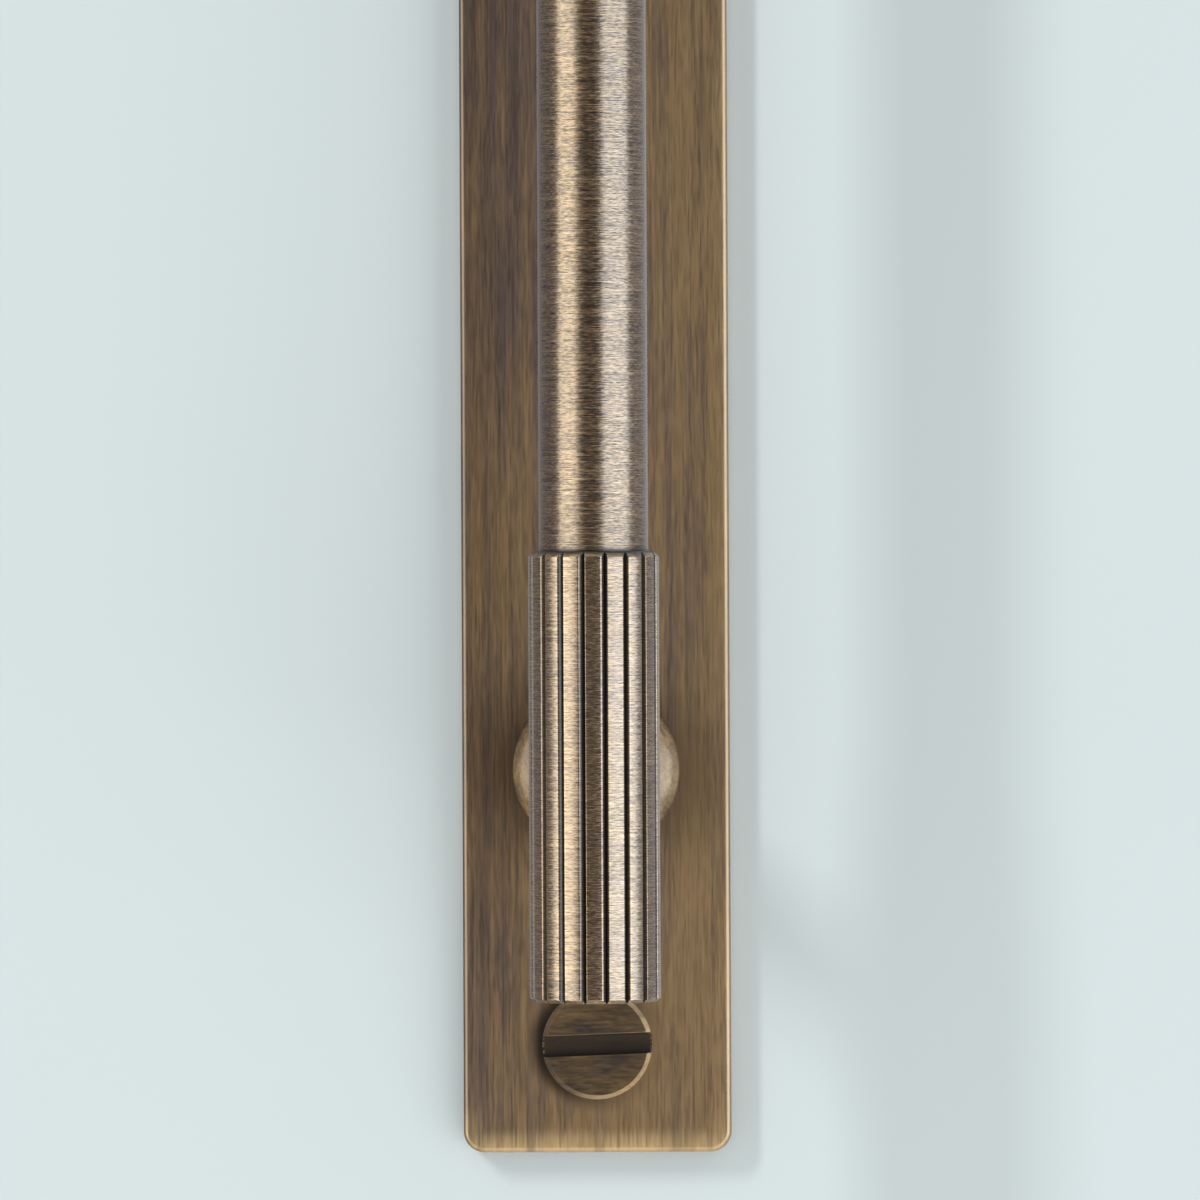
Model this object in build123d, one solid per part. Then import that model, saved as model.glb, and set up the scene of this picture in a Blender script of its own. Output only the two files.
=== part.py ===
from build123d import *
import os

# Knurled cabinet handle with backplate, in millimetres.
# +Z runs up along the bar, the front faces -Y, and the origin is the centre of the
# backplate's back face, which lies against the door.

# Backplate
plate_overhang = 36.3  # past each post's axis
plate_width = 25.4
plate_thickness = 3.0
plate_corner_radius = 2.0
plate_edge_radius = 0.5

# Bar
bar_diameter = 10.0
bar_height = 29.0  # from the plate's front face to the bar's axis
post_spacing = 160.0

# Fluted end sleeves
sleeve_diameter = 12.0
sleeve_length = 41.0
sleeve_end_wall = 3.0
sleeve_mouth_chamfer = 0.45
sleeve_end_chamfer = 0.3
sleeve_clearance = 0.05  # round the bar and at its end
flute_count = 18
flute_width = 0.6
flute_depth = 0.42
flute_lean = 0.1  # the valley's shift from the groove's middle

# Posts
stem_diameter = 8.0
stem_clearance = 0.05
seat_depth = 2.2  # how far a stem sinks into the bar
foot_diameter = 15.8
foot_edge_height = 0.5
foot_chamfer_width = 0.95
foot_chamfer_height = 0.8
foot_taper_height = 1.3

# Machine screws that draw the bar and posts to the plate
machine_thread_diameter = 4.0
machine_thread_engagement = 5.8
machine_thread_clearance = 0.03
machine_hole_clearance = 0.15
machine_hole_runout = 0.7
machine_head_diameter = 7.6
machine_head_rim = 0.3
machine_head_sink = 0.2
machine_head_clearance = 0.03
recess_span = 4.4
recess_width = 1.0
recess_depth = 1.6

# Slotted wood screws through the plate's face
wood_screw_margin = 10.3  # from the plate's end to the screw's axis
wood_screw_length = 22.0  # under the head
wood_head_diameter = 10.4
wood_head_height = 2.0
wood_head_chamfer = 0.4
wood_slot_width = 1.95
wood_slot_depth = 1.2
wood_slot_angle = 2.2
wood_shank_diameter = 4.2
wood_shank_overrun = 2.0  # plain shank behind the plate
wood_thread_diameter = 3.6  # mean of the thread's crest and root
wood_tip_length = 5.0
wood_hole_clearance = 0.15

# Radii and lengths that follow from the sizes above
bar_radius = bar_diameter / 2
sleeve_radius = sleeve_diameter / 2
stem_radius = stem_diameter / 2
foot_radius = foot_diameter / 2
machine_thread_radius = machine_thread_diameter / 2
machine_hole_radius = machine_thread_radius + machine_hole_clearance
machine_head_radius = machine_head_diameter / 2
wood_shank_radius = wood_shank_diameter / 2
wood_thread_radius = wood_thread_diameter / 2
wood_head_radius = wood_head_diameter / 2
stem_length = bar_height - bar_radius + seat_depth
plate_length = post_spacing + 2 * plate_overhang
bar_length = post_spacing + sleeve_length - 2 * (sleeve_end_wall + sleeve_clearance)
machine_screw_length = plate_thickness + stem_length + machine_thread_engagement

# Places of the lower pieces. The upper ones repeat them, turned end for end.
bar_axis_y = -plate_thickness - bar_height
lower_post_z = -post_spacing / 2
lower_wood_screw_z = wood_screw_margin - plate_length / 2
end_for_end = Rot(0, 180, 0)
rising = (Align.CENTER, Align.CENTER, Align.MIN)


def out_of_front(z):
    """A place on the plate's front face at height z, with its own Z pointing to the front."""
    return Pos(0, -plate_thickness, z) * Rot(90, 0, 0)


def out_of_back(z):
    """A place on the plate's back face at height z, with its own Z pointing to the front."""
    return Pos(0, 0, z) * Rot(90, 0, 0)


def turned(outline):
    """A solid turned about its own Z from a closed outline of (radius, height)."""
    return revolve(Plane.XZ * make_face(outline), Axis.Z)


def both_ends(lower):
    """A lower piece and its twin at the upper end."""
    return [lower, end_for_end * lower]


def make_backplate():
    """Flat bar with rounded corners, a softened front edge and its four screw holes."""
    blank = RectangleRounded(plate_width, plate_length, plate_corner_radius)
    plate = out_of_back(0) * extrude(blank, plate_thickness)
    front_face = plate.faces().sort_by(Axis.Y)[0]
    plate = fillet(front_face.edges(), plate_edge_radius)

    wood_hole_radius = wood_shank_radius + wood_hole_clearance
    wood_hole = Cylinder(wood_hole_radius, plate_thickness, align=rising)
    wood_hole = out_of_back(lower_wood_screw_z) * wood_hole

    sink_radius = machine_head_radius + machine_head_clearance
    sink_depth = machine_head_sink + machine_head_rim
    machine_hole = turned(
        Polyline(
            (0, 0),
            (sink_radius, 0),
            (sink_radius, sink_depth),
            (machine_hole_radius, sink_depth + sink_radius - machine_hole_radius),
            (machine_hole_radius, plate_thickness),
            (0, plate_thickness),
            close=True,
        )
    )
    machine_hole = out_of_back(lower_post_z) * machine_hole
    return plate - both_ends(wood_hole) - both_ends(machine_hole)


def make_bar():
    """Plain rod with a flat-bottomed pocket and a tapped hole at each post."""
    rod = Pos(0, bar_axis_y, 0) * Cylinder(bar_radius, bar_length)
    pocket = Cylinder(stem_radius + stem_clearance, stem_length, align=rising)
    tapped_radius = machine_thread_radius + machine_thread_clearance
    tapped_depth = machine_thread_engagement + machine_hole_runout
    tapped_hole = Pos(0, 0, stem_length) * Cylinder(tapped_radius, tapped_depth, align=rising)
    seat = out_of_front(lower_post_z) * (pocket + tapped_hole)
    return rod - both_ends(seat)


def make_sleeve():
    """Turned cap with a blind bore and leaning V grooves that run out through its end chamfers."""
    half_length = sleeve_length / 2
    cap = turned(
        Polyline(
            (0, -half_length),
            (sleeve_radius - sleeve_end_chamfer, -half_length),
            (sleeve_radius, sleeve_end_chamfer - half_length),
            (sleeve_radius, half_length - sleeve_mouth_chamfer),
            (sleeve_radius - sleeve_mouth_chamfer, half_length),
            (0, half_length),
            close=True,
        )
    )

    # The cutter's flanks carry on outwards past the surface, so it is twice as deep and wide
    vee = Polyline(
        (sleeve_radius - flute_depth, flute_lean),
        (sleeve_radius + flute_depth, -flute_width - flute_lean),
        (sleeve_radius + flute_depth, flute_width - flute_lean),
        close=True,
    )
    flute = extrude(make_face(vee), half_length, both=True)

    # A ridge, not a groove, faces the front
    front_angle = -90
    half_pitch = 180 / flute_count
    flutes = PolarLocations(0, flute_count, start_angle=front_angle + half_pitch) * flute

    bore = Cylinder(bar_radius + sleeve_clearance, sleeve_length)
    bore = Pos(0, 0, sleeve_end_wall) * bore
    cap = Pos(0, bar_axis_y, lower_post_z) * (cap - flutes - bore)

    cross_hole = Cylinder(stem_radius + stem_clearance, bar_height, align=rising)
    return cap - out_of_front(lower_post_z) * cross_hole


def make_post():
    """Turned standoff: a tapered foot with a chamfered edge, a stem and a clear hole through."""
    taper_base = foot_edge_height + foot_chamfer_height
    post = turned(
        Polyline(
            (machine_hole_radius, 0),
            (foot_radius, 0),
            (foot_radius, foot_edge_height),
            (foot_radius - foot_chamfer_width, taper_base),
            (stem_radius, taper_base + foot_taper_height),
            (stem_radius, stem_length),
            (machine_hole_radius, stem_length),
            close=True,
        )
    )
    return out_of_front(lower_post_z) * post


def make_post_screw():
    """Countersunk machine screw with a crossed recess, its head just under the plate's back."""
    cone_base = machine_head_sink + machine_head_rim
    screw = turned(
        Polyline(
            (0, machine_head_sink),
            (machine_head_radius, machine_head_sink),
            (machine_head_radius, cone_base),
            (machine_thread_radius, cone_base + machine_head_radius - machine_thread_radius),
            (machine_thread_radius, machine_screw_length),
            (0, machine_screw_length),
            close=True,
        )
    )
    slot = Pos(0, 0, machine_head_sink) * Box(recess_span, recess_width, 2 * recess_depth)
    return out_of_back(lower_post_z) * (screw - slot - Rot(0, 0, 90) * slot)


def make_face_screw():
    """Slotted cheese-head wood screw. Its thread is a plain cylinder that ends in a point."""
    shank_end = -plate_thickness - wood_shank_overrun
    thread_start = shank_end - wood_shank_radius + wood_thread_radius
    screw = turned(
        Polyline(
            (0, wood_head_height),
            (wood_head_radius - wood_head_chamfer, wood_head_height),
            (wood_head_radius, wood_head_height - wood_head_chamfer),
            (wood_head_radius, 0),
            (wood_shank_radius, 0),
            (wood_shank_radius, shank_end),
            (wood_thread_radius, thread_start),
            (wood_thread_radius, wood_tip_length - wood_screw_length),
            (0, -wood_screw_length),
            close=True,
        )
    )
    slot = Box(wood_head_diameter, wood_slot_width, 2 * wood_slot_depth)
    slot = Pos(0, 0, wood_head_height) * Rot(0, 0, wood_slot_angle) * slot
    return out_of_front(lower_wood_screw_z) * (screw - slot)


os.makedirs("parts", exist_ok=True)

lower_sleeve, upper_sleeve = both_ends(make_sleeve())
lower_post, upper_post = both_ends(make_post())
pieces = {
    "backplate": make_backplate(),
    "bar": make_bar(),
    "lower_sleeve": lower_sleeve,
    "upper_sleeve": upper_sleeve,
    "lower_post": lower_post,
    "upper_post": upper_post,
    "post_screws": Compound(children=both_ends(make_post_screw())),
    "face_screws": Compound(children=both_ends(make_face_screw())),
}

for name, piece in pieces.items():
    export_step(piece, f"parts/{name}.step")
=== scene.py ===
import math

import bmesh
import bpy
import numpy as np
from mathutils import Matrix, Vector
from mathutils.geometry import tessellate_polygon


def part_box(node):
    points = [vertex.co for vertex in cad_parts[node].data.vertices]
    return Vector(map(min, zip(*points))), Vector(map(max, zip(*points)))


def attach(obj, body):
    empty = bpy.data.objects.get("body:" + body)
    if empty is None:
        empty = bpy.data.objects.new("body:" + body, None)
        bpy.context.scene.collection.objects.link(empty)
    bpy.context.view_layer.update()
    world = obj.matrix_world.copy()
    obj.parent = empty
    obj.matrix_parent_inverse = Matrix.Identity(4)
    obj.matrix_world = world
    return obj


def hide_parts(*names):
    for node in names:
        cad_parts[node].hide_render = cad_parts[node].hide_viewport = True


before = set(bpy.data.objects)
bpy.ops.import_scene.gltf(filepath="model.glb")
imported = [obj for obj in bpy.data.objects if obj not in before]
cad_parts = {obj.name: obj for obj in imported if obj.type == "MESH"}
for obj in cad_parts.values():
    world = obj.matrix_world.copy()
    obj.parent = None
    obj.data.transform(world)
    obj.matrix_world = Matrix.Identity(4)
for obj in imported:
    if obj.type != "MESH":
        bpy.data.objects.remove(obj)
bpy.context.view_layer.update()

# Backplate
# A flat bar of brass with rounded corners and softened front edges, brushed along its length,
# browned with age and rubbed back to bright metal along its edges, most of all at its ends.
# Two wood screws go through it from the front and two machine screws, sunk, from behind.
MM = 0.001
plate_low, plate_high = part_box("backplate")
plate_front = plate_low.y
plate_half_width = plate_high.x
plate_half_length = plate_high.z
plate_corner_radius = 2.0 * MM
plate_edge_radius = 0.5 * MM
plate_back_ease = 0.12 * MM
plate_wear_reach = 2.6 * MM  # how far in from the edge the front face is rubbed
left_wear, left_fading = 0.2, 0.3 * MM  # the share at each edge, and how far it fades to a third
# The right edge's larger share is partly a painted highlight, where that edge looks more brightly
# lit
right_wear_and_highlight, right_fading = 0.5, 0.6 * MM
end_wear, end_fading = 1.7, 1.3 * MM
post_z = 80.0 * MM
face_screw_z = 106.0 * MM
face_screw_hole_radius = 2.25 * MM
post_screw_hole_radius = 2.15 * MM
post_screw_sink_radius = 3.83 * MM
post_screw_sink_depth = 0.5 * MM
hole_lip = 0.05 * MM  # the clean lip of a hole, before its grime starts
# Painted shade round each face screw's head, mostly on its left
ring_shade_start = 5.3 * MM  # from a face screw's axis, just past the edge of its head
ring_shade_end = 7.0 * MM
ring_shade_share = 0.95
# Painted shade on the plate round each post, fading out between these distances
post_shade_start = 6.5 * MM  # from where a post's axis meets the plate's front
post_shade_end = 14.0 * MM
post_shade_fading = 5.0  # times faster through the plate than along it, so that its back is clean
hole_grime_share = 0.5
hole_columns = 64
back_edge_wear = 0.3
side_wear = 0.25  # on the plate's sides, and from there up to 1 over its front edge
weld_distance = 0.0005 * MM
sharp_angle = math.radians(40)

plate_brown = (0.163, 0.114, 0.091, 1)
plate_gold = (0.338, 0.214, 0.101, 1)
# Bright brass for worn edges and painted highlights, and near black for grime and painted shade
bright_brass_wear_and_highlight = (0.760, 0.530, 0.260, 1)
dark_grime_and_shade = (0.022, 0.016, 0.013, 1)
patina_clouds = (150.0, 150.0, 60.0)  # in a metre along X, Y and Z
cloud_tone = 1.1
broken_lines = 5  # how many times shorter the broken brush lines are
swaying_lines = 1.3  # to one brush line
dark_line, light_line = 0.3, 0.7  # the values of the lines' noise that darken and lighten most
patchy_gain, patchy_base = 2.2, -0.2  # from a streak's noise to the share of the wear that shows
line_matt, rub_polish, grime_matt = 0.3, 0.04, 0.25  # what each adds to the roughness or takes off


def grid_patch(points, closed=True, wear_and_highlight=0.0, grime_and_shade=0.0):
    """A patch of surface from a grid of points, as (points, faces, rubbed, grimy).

    Every four neighbours of the grid make a quad, and a closed grid also joins its last column
    to its first. wear_and_highlight and grime_and_shade say, from 0 to 1, how bright or how dark
    the metal is there: worn or given a painted highlight, dirty or given a painted shade.
    """
    rows, columns = points.shape[:2]
    across = np.arange(columns if closed else columns - 1)
    row, column = np.meshgrid(np.arange(rows - 1), across, indexing="ij")
    beside = (column + 1) % columns
    near, far = row * columns, (row + 1) * columns
    quads = np.stack((near + column, near + beside, far + beside, far + column), axis=-1)
    wear_and_highlight = np.broadcast_to(wear_and_highlight, (rows, columns)).ravel()
    grime_and_shade = np.broadcast_to(grime_and_shade, (rows, columns)).ravel()
    return points.reshape(-1, 3), quads.reshape(-1, 4), wear_and_highlight, grime_and_shade


def flat_patch(loops):
    """A flat patch across Y that fills the first loop of points and leaves the others open."""
    points = np.concatenate(loops)
    triangles = tessellate_polygon([loop[:, [0, 2]].tolist() for loop in loops])
    return points, np.array(triangles), np.zeros(len(points)), np.zeros(len(points))


def make_piece(name, patches, material):
    """Joins patches that meet at their rims into one closed mesh, smooth but for sharp edges."""
    starts = np.cumsum([0] + [len(patch[0]) for patch in patches[:-1]])
    points = np.concatenate([patch[0] for patch in patches])
    faces = []
    for patch, start in zip(patches, starts):
        faces += (patch[1] + start).tolist()
    mesh = bpy.data.meshes.new(name)
    mesh.from_pydata(points.tolist(), [], faces)
    for label, column in (("wear_and_highlight", 2), ("grime_and_shade", 3)):
        values = np.concatenate([patch[column] for patch in patches]).astype(np.float32)
        mesh.attributes.new(label, "FLOAT", "POINT").data.foreach_set("value", values)
    shell = bmesh.new()
    shell.from_mesh(mesh)
    bmesh.ops.remove_doubles(shell, verts=shell.verts, dist=weld_distance)
    bmesh.ops.recalc_face_normals(shell, faces=shell.faces)
    shell.to_mesh(mesh)
    shell.free()
    mesh.shade_smooth()
    mesh.set_sharp_from_angle(angle=sharp_angle)
    mesh.materials.append(material)
    piece = bpy.data.objects.new(name, mesh)
    bpy.context.scene.collection.objects.link(piece)
    return piece


def put(tree, kind, inputs, **settings):
    """Adds a shader node. Its inputs are plain values, or sockets that are linked to it."""
    made = tree.nodes.new(kind)
    for key, value in settings.items():
        setattr(made, key, value)
    for key, value in inputs.items():
        if isinstance(value, bpy.types.NodeSocket):
            tree.links.new(value, made.inputs[key])
        else:
            made.inputs[key].default_value = value
    return made


def blended(tree, share, first, second):
    """The colour that goes from first to second as share goes from 0 to 1."""
    mix = put(tree, "ShaderNodeMix", {0: share, 6: first, 7: second}, data_type="RGBA")
    return mix.outputs[2]


def scaled_sum(tree, value, factor, base, clamp=False):
    """value times factor plus base."""
    inputs = {0: value, 1: factor, 2: base}
    made = put(tree, "ShaderNodeMath", inputs, operation="MULTIPLY_ADD", use_clamp=clamp)
    return made.outputs[0]


def ranged(tree, value, start, end, low, high, curve="LINEAR"):
    """Goes from low to high as value goes from start to end, and no further."""
    inputs = {"Value": value, "From Min": start, "From Max": end, "To Min": low, "To Max": high}
    return put(tree, "ShaderNodeMapRange", inputs, interpolation_type=curve).outputs[0]


def unshaded(tree, axes, from_middle, post_shade):
    """The share of its brightness that the metal keeps, which a painted shade round a post
    lessens.

    It rises with the distance from where the nearer post's axis meets the plate's front. What
    lies behind or before that face counts as post_shade_fading times as far.
    """
    through = scaled_sum(tree, axes["Y"], post_shade_fading, -post_shade_fading * plate_front)
    along = scaled_sum(tree, from_middle, 1.0, -post_z)
    apart = put(tree, "ShaderNodeCombineXYZ", {"X": axes["X"], "Y": through, "Z": along})
    from_post = put(tree, "ShaderNodeVectorMath", {0: apart.outputs[0]}, operation="LENGTH")
    distance = from_post.outputs["Value"]
    return ranged(tree, distance, post_shade_start, post_shade_end, 1.0 - post_shade, 1.0, "SMOOTHSTEP")


def swayed_normal(tree, sway):
    """The surface's normal, turned about Z by sway."""
    outwards = put(tree, "ShaderNodeNewGeometry", {}).outputs["Normal"]
    inputs = {0: outwards, 1: (0, 0, 1)}
    sideways = put(tree, "ShaderNodeVectorMath", inputs, operation="CROSS_PRODUCT").outputs[0]
    inputs = {0: sideways, "Scale": sway}
    turn = put(tree, "ShaderNodeVectorMath", inputs, operation="SCALE").outputs[0]
    return put(tree, "ShaderNodeVectorMath", {0: outwards, 1: turn}, operation="ADD").outputs[0]


def aged_brass(
    name, brown, gold, lines, streaks, brush, line_tone, streak_tone, roughness, depth,
    sway=0.0, drift=0.0, end_drift=0.0, post_shade=0.0,
):
    """Brushed brass under a brown patina.

    lines and streaks are how many fine brush lines and broad patina streaks go into a metre
    along X, Y and Z. Half of the lines are broken short. Both, and soft clouds of patina, move
    the colour between brown and gold, each as far as its tone says. drift is how fast it turns
    golden to the right, a painted light that makes that side look more brightly lit, and
    end_drift how fast towards both ends.
    The fine lines also darken and lighten the metal by the share brush, vary its roughness,
    raise it by depth and turn it a little about Z, by sway. Round the posts a painted shade, of
    share post_shade, darkens it. Worn edges and painted highlights turn to bright brass,
    unevenly, and grime in recesses and painted shade turn to near black. A clear lacquer lies
    over all.
    """
    material = bpy.data.materials.new(name)
    material.use_nodes = True
    tree = material.node_tree
    shader = tree.nodes["Principled BSDF"]
    place = put(tree, "ShaderNodeTexCoord", {}).outputs["Object"]
    axes = put(tree, "ShaderNodeSeparateXYZ", {0: place}).outputs
    from_middle = put(tree, "ShaderNodeMath", {0: axes["Z"]}, operation="ABSOLUTE").outputs[0]

    def noise(scale, detail):
        """Smooth noise about 0.5, with scale waves in a metre along X, Y and Z."""
        mapped = put(tree, "ShaderNodeMapping", {"Vector": place, "Scale": scale}).outputs[0]
        inputs = {"Vector": mapped, "Scale": 1.0, "Detail": detail, "Roughness": 0.6}
        return put(tree, "ShaderNodeTexNoise", inputs).outputs[0]

    long_lines = noise(lines, 0.0)
    short_lines = noise([min(broken_lines * count, max(lines)) for count in lines], 0.0)
    fine = scaled_sum(tree, short_lines, 0.5, scaled_sum(tree, long_lines, 0.5, 0.0))
    broad = noise(streaks, 1.0)
    cloud = noise(patina_clouds, 2.0)

    # Every noise lies about 0.5, and this start brings the tone's own mean there too
    tone = 0.5 - 0.5 * (line_tone + streak_tone + cloud_tone)
    tone = scaled_sum(tree, axes["X"], drift, tone)
    tone = scaled_sum(tree, from_middle, end_drift, tone)
    tone = scaled_sum(tree, broad, streak_tone, tone)
    tone = scaled_sum(tree, cloud, cloud_tone, tone)
    tone = scaled_sum(tree, fine, line_tone, tone, clamp=True)
    colour = blended(tree, tone, brown, gold)

    wear_and_highlight = put(tree, "ShaderNodeAttribute", {}, attribute_name="wear_and_highlight").outputs["Fac"]
    uneven = scaled_sum(tree, broad, patchy_gain, patchy_base, clamp=True)
    rub = scaled_sum(tree, wear_and_highlight, uneven, 0.0, clamp=True)
    colour = blended(tree, rub, colour, bright_brass_wear_and_highlight)
    stroke = ranged(tree, fine, dark_line, light_line, 1.0 - brush, 1.0 + brush)
    stroke = scaled_sum(tree, stroke, unshaded(tree, axes, from_middle, post_shade), 0.0)
    stroked = put(tree, "ShaderNodeVectorMath", {0: colour, "Scale": stroke}, operation="SCALE")
    grime_and_shade = put(tree, "ShaderNodeAttribute", {}, attribute_name="grime_and_shade").outputs["Fac"]
    colour = blended(tree, grime_and_shade, stroked.outputs[0], dark_grime_and_shade)
    tree.links.new(colour, shader.inputs["Base Color"])

    matt = scaled_sum(tree, fine, line_matt, roughness - line_matt / 2)
    matt = scaled_sum(tree, rub, -rub_polish, matt)
    matt = scaled_sum(tree, grime_and_shade, grime_matt, matt)
    tree.links.new(matt, shader.inputs["Roughness"])
    wander = noise([swaying_lines * count for count in lines], 0.0)
    normal = swayed_normal(tree, scaled_sum(tree, wander, sway, -0.5 * sway))
    relief = {"Height": fine, "Strength": 1.0, "Distance": depth, "Normal": normal}
    tree.links.new(put(tree, "ShaderNodeBump", relief).outputs[0], shader.inputs["Normal"])
    shader.inputs["Metallic"].default_value = 1.0
    shader.inputs["Coat Weight"].default_value = 1.0
    shader.inputs["Coat Roughness"].default_value = 0.25
    return material


def plate_outline(inset, y):
    """Loops round the plate, one row for each inset from its edge and each depth y.

    A quarter goes up the side, round the corner's arc and in along the end. The other three
    quarters are its mirror images.
    """
    inset, y = np.broadcast_arrays(inset, y)
    side = plate_half_width - inset[:, None]
    end = plate_half_length - inset[:, None]
    radius = np.maximum(plate_corner_radius - inset[:, None], plate_back_ease)
    up = np.linspace(0.0, 1.0, 48)[None, :-1]
    turn = np.linspace(0.0, math.pi / 2, 13)[None, :]
    inwards = np.linspace(1.0, 0.0, 8)[None, 1:]
    corner_x = side - radius + radius * np.cos(turn)
    corner_z = end - radius + radius * np.sin(turn)
    x = np.hstack((side + 0 * up, corner_x, (side - radius) * inwards))
    z = np.hstack(((end - radius) * up, corner_z, end + 0 * inwards))
    x = np.hstack((x, -x[:, -2::-1], -x[:, 1:], x[:, -2:0:-1]))
    z = np.hstack((z, z[:, -2::-1], -z[:, 1:], -z[:, -2:0:-1]))
    return np.stack((x, y[:, None] + 0 * x, z), axis=-1)


def turned_y(radius, y, centre_z, angles):
    """A surface turned about a line along Y: at each angle the outline of (radius, y)."""
    x = radius[:, None] * np.sin(angles)
    z = centre_z + radius[:, None] * np.cos(angles)
    return np.stack((x, y[:, None] + 0 * x, z), axis=-1)


def full_turn(columns):
    """Even angles once round."""
    return np.arange(columns) * (2 * math.pi / columns)


def smooth_step(value, start, end):
    """Rises from 0 to 1 as value goes from start to end, level at both."""
    share = np.clip((value - start) / (end - start), 0.0, 1.0)
    return share * share * (3 - 2 * share)


round_off = np.linspace(0.0, math.pi / 2, 11)
back_round = np.linspace(0.0, math.pi / 2, 4)
worn_share = np.linspace(0.0, 1.0, 11)[1:] ** 1.5  # closer together towards the edge
worn_inset = plate_edge_radius + (plate_wear_reach - plate_edge_radius) * worn_share
rim_inset = np.concatenate(
    (
        [plate_wear_reach, 2 * plate_back_ease],
        plate_back_ease * (1 - np.sin(back_round)),
        plate_edge_radius * (1 - np.cos(round_off)),
        worn_inset,
    )
)
rim_y = np.concatenate(
    (
        [0.0, 0.0],
        -plate_back_ease * (1 - np.cos(back_round)),
        plate_front + plate_edge_radius * (1 - np.sin(round_off)),
        plate_front + 0 * worn_inset,
    )
)
rim_rubbed = np.concatenate(
    (
        [0.0, 0.0],
        back_edge_wear * np.sin(2 * back_round),
        side_wear + (1 - side_wear) * np.sin(round_off),
        1.0 - smooth_step(worn_inset, 0.5 * plate_wear_reach, plate_wear_reach),
    )
)
plate_rim = plate_outline(rim_inset, rim_y)
rim_x, rim_z = plate_rim[..., 0], plate_rim[..., 2]
plate_rim_wear_and_highlight = np.maximum.reduce(
    (
        left_wear * np.exp(-(plate_half_width + rim_x) / left_fading),
        right_wear_and_highlight * np.exp(-(plate_half_width - rim_x) / right_fading),
        end_wear * np.exp(-(plate_half_length - np.abs(rim_z)) / end_fading),
    )
)
plate_rim_wear_and_highlight = rim_rubbed[:, None] * np.clip(plate_rim_wear_and_highlight, 0.0, 1.0)

hole_turn = full_turn(hole_columns)
cone_reach = post_screw_sink_radius - post_screw_hole_radius
straight_hole = np.full(4, face_screw_hole_radius)
straight_y = np.array([plate_front, plate_front + hole_lip, -hole_lip, 0.0])
sunk_hole = np.array([post_screw_hole_radius] * 3 + [post_screw_sink_radius] * 3)
sunk_y = np.array(
    [
        plate_front,
        plate_front + hole_lip,
        -post_screw_sink_depth - cone_reach,
        -post_screw_sink_depth,
        -hole_lip,
        0.0,
    ]
)
plate_holes = [
    turned_y(radius, y, side * centre_z, hole_turn)
    for radius, y, centre_z in (
        (straight_hole, straight_y, face_screw_z),
        (sunk_hole, sunk_y, post_z),
    )
    for side in (-1, 1)
]
plate_patches = [grid_patch(plate_rim, wear_and_highlight=plate_rim_wear_and_highlight)]
for hole in plate_holes:
    hole_grime = np.full((len(hole), 1), hole_grime_share)
    hole_grime[[0, -1]] = 0.0
    plate_patches.append(grid_patch(hole, grime_and_shade=hole_grime))
plate_patches.append(flat_patch([plate_rim[0]] + [hole[-1] for hole in plate_holes]))

# Painted shade beside the face screws' heads, mostly on their left, where the heads shade the
# plate
front_loops = [plate_rim[-1]] + [hole[0] for hole in plate_holes[2:]]
ring_radius = np.concatenate(([face_screw_hole_radius], np.linspace(ring_shade_start, ring_shade_end, 8)))
ring_shade = ring_shade_share * (1 - smooth_step(ring_radius, ring_shade_start, ring_shade_end))
ring_shade[0] = 0.0
left_side = 0.5 - 0.5 * np.sin(hole_turn)
for side in (-1, 1):
    ring = turned_y(ring_radius, plate_front + 0 * ring_radius, side * face_screw_z, hole_turn)
    plate_patches.append(grid_patch(ring, grime_and_shade=np.outer(ring_shade, left_side)))
    front_loops.append(ring[-1])
plate_patches.append(flat_patch(front_loops))

plate_brass = aged_brass(
    "brass_brushed_lengthwise",
    plate_brown,
    plate_gold,
    lines=(6000.0, 900.0, 120.0),
    streaks=(800.0, 250.0, 28.0),
    brush=0.07,
    line_tone=0.75,
    streak_tone=1.8,
    roughness=0.46,
    depth=0.004 * MM,
    # a painted light: the plate lightens and turns golden towards its right
    drift=24.0,
    end_drift=3.0,
    # a painted shade round the posts
    post_shade=0.47,
)
brushed_backplate = make_piece("brushed_backplate", plate_patches, plate_brass)
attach(brushed_backplate, "root")
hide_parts("backplate")

# Posts
# Two standoffs turned from brass: a low tapered foot with a chamfered edge sits on the plate,
# and the stem goes through the sleeve's wall into the bar. A machine screw passes down each.
post_hole_radius = 2.15 * MM
stem_radius = 4.0 * MM
foot_radius = 7.9 * MM
foot_edge_height = 0.5 * MM
foot_chamfer_width = 0.95 * MM
foot_chamfer_top = 1.3 * MM
foot_top = 2.6 * MM
broken_edge = 0.05 * MM  # how far from its corner a sharp edge is eased
foot_edge_ease, foot_edge_wear = 0.3 * MM, 0.1
foot_chamfer_ease, foot_chamfer_wear = 0.5 * MM, 0.05
stem_fillet = 0.6 * MM
post_step = 1.5 * MM  # the furthest apart that its rings of points lie
post_columns = 112
post_low, post_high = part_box("lower_post")
post_length = post_high.y - post_low.y

post_brown = (0.121, 0.075, 0.037, 1)
post_gold = (0.384, 0.240, 0.106, 1)


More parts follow.
